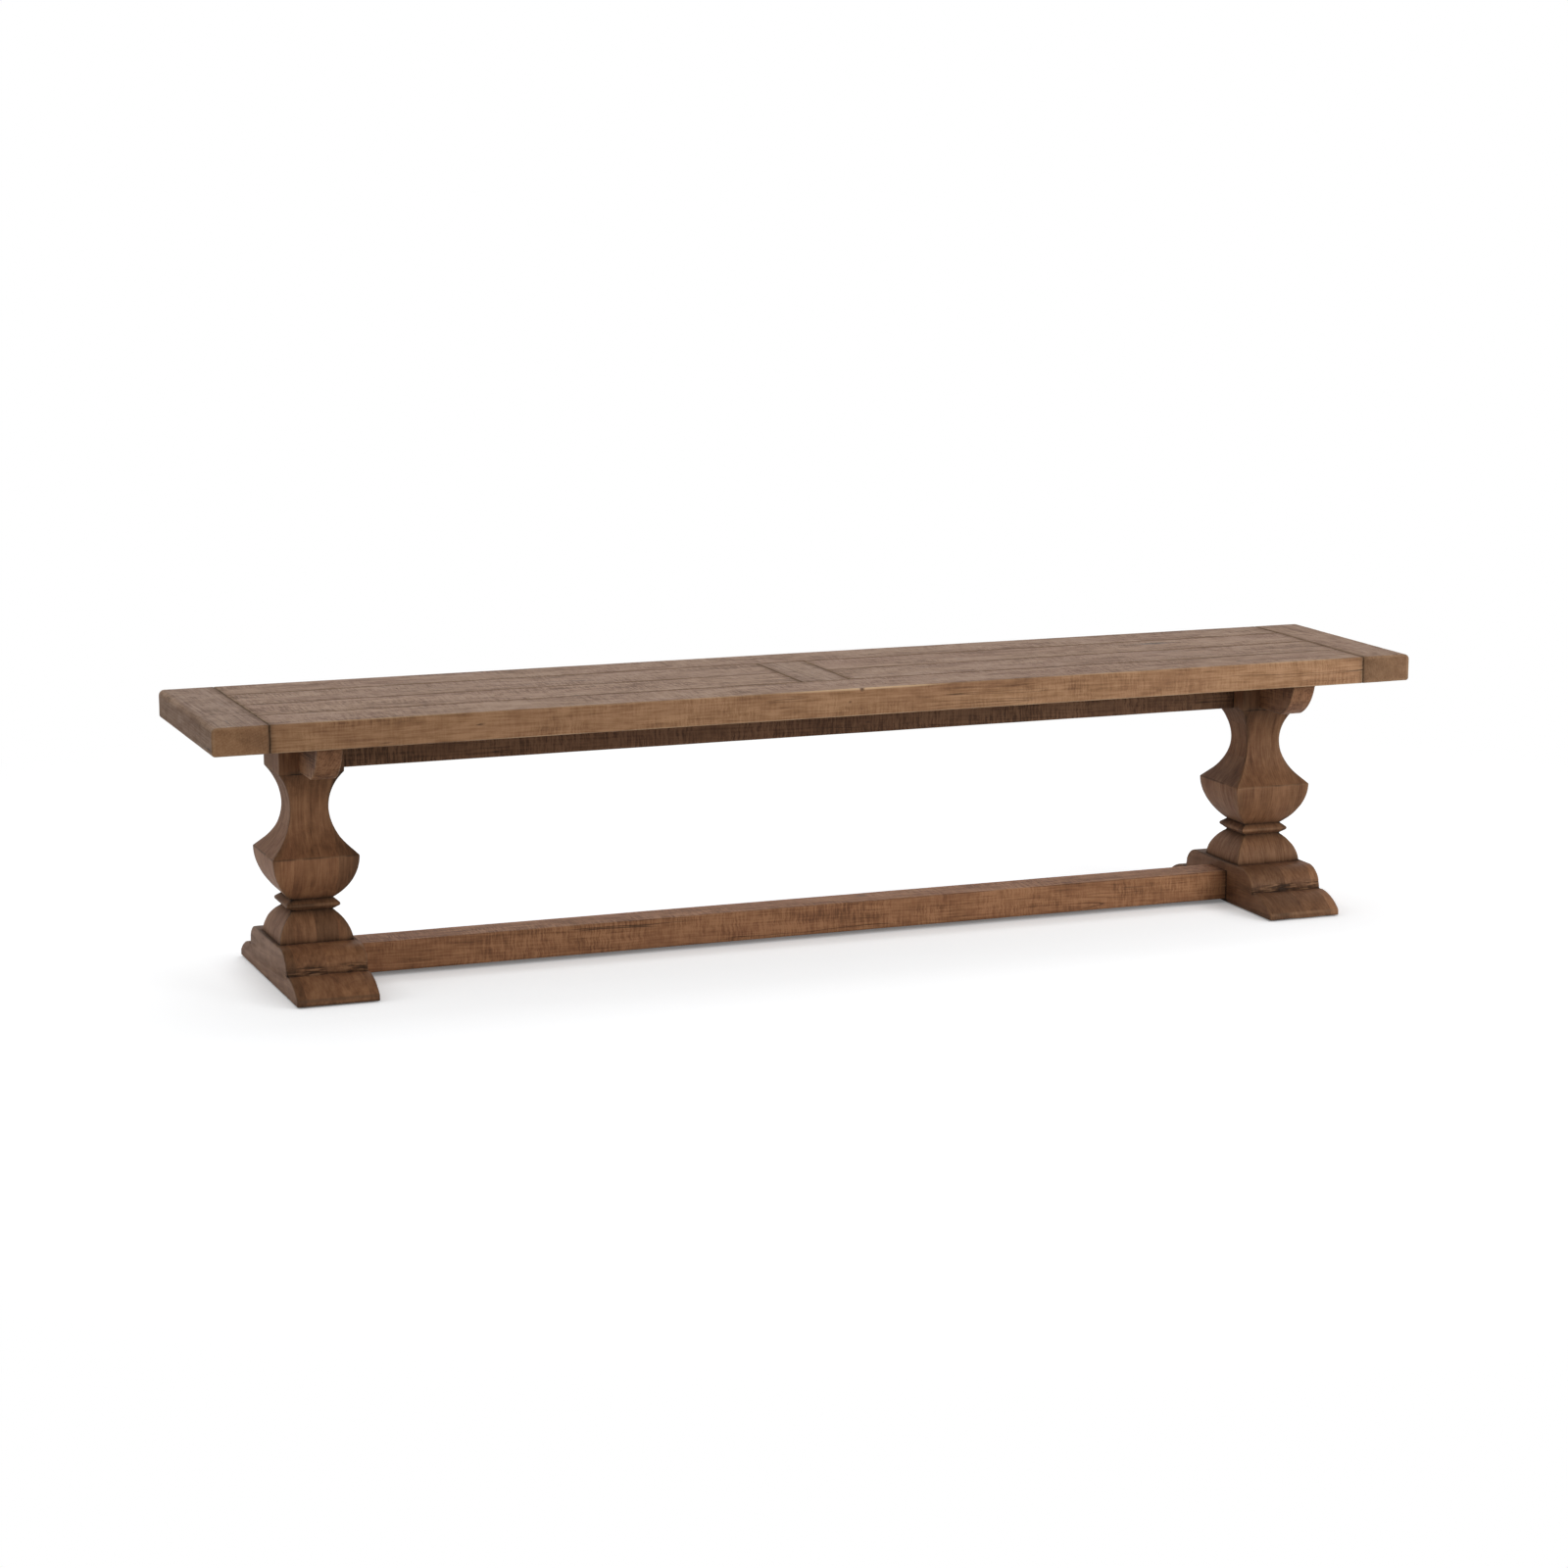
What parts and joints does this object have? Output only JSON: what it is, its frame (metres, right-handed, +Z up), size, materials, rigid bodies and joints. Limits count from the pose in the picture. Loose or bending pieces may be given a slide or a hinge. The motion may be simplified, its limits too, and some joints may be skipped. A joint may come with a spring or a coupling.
{
  "type": "dining bench",
  "caption": "Long wooden dining bench: framed plank seat on square vase-shaped baluster pedestals with sled feet, tied by an under-seat apron and a low stretcher.",
  "frame": {"origin": "on the floor, under the middle of the seat", "axes": "+X along the seat to the right, -Y to the front as pictured, +Z up"},
  "size_m": [2.134, 0.402, 0.462],
  "materials": {
    "top_wood": "rough-sawn, brushed, matte grey-brown stain",
    "base_wood": "rough-sawn, matte warm brown stain with darker glaze in the creases",
    "dowel_wood": "plain beech",
    "zinc_steel": "zinc plated",
    "nylon": "moulded, dark brown"
  },
  "bodies": {
    "root": {"end_board_left": "top_wood", "end_board_right": "top_wood", "front_rail": "top_wood", "rear_rail": "top_wood", "cross_rail": "top_wood", "plank_left_front": "top_wood", "plank_left_rear": "top_wood", "plank_right_front": "top_wood", "plank_right_rear": "top_wood", "apron_beam": "base_wood", "cleat_left": "base_wood", "cleat_right": "base_wood", "baluster_left": "base_wood", "baluster_right": "base_wood", "collar_left": "base_wood", "collar_right": "base_wood", "plinth_left": "base_wood", "plinth_right": "base_wood", "foot_left": "base_wood", "foot_right": "base_wood", "stretcher": "base_wood", "tie_rod_left": "zinc_steel", "tie_rod_right": "zinc_steel", "tie_rod_nuts": "zinc_steel", "tie_rod_washers": "zinc_steel", "seat_bolts": "zinc_steel", "seat_bolt_washers": "zinc_steel", "seat_inserts": "zinc_steel", "apron_screws": "zinc_steel", "stretcher_screws": "zinc_steel", "plinth_dowels": "dowel_wood", "collar_dowels": "dowel_wood", "floor_glides": "nylon"}
  },
  "joints": []
}
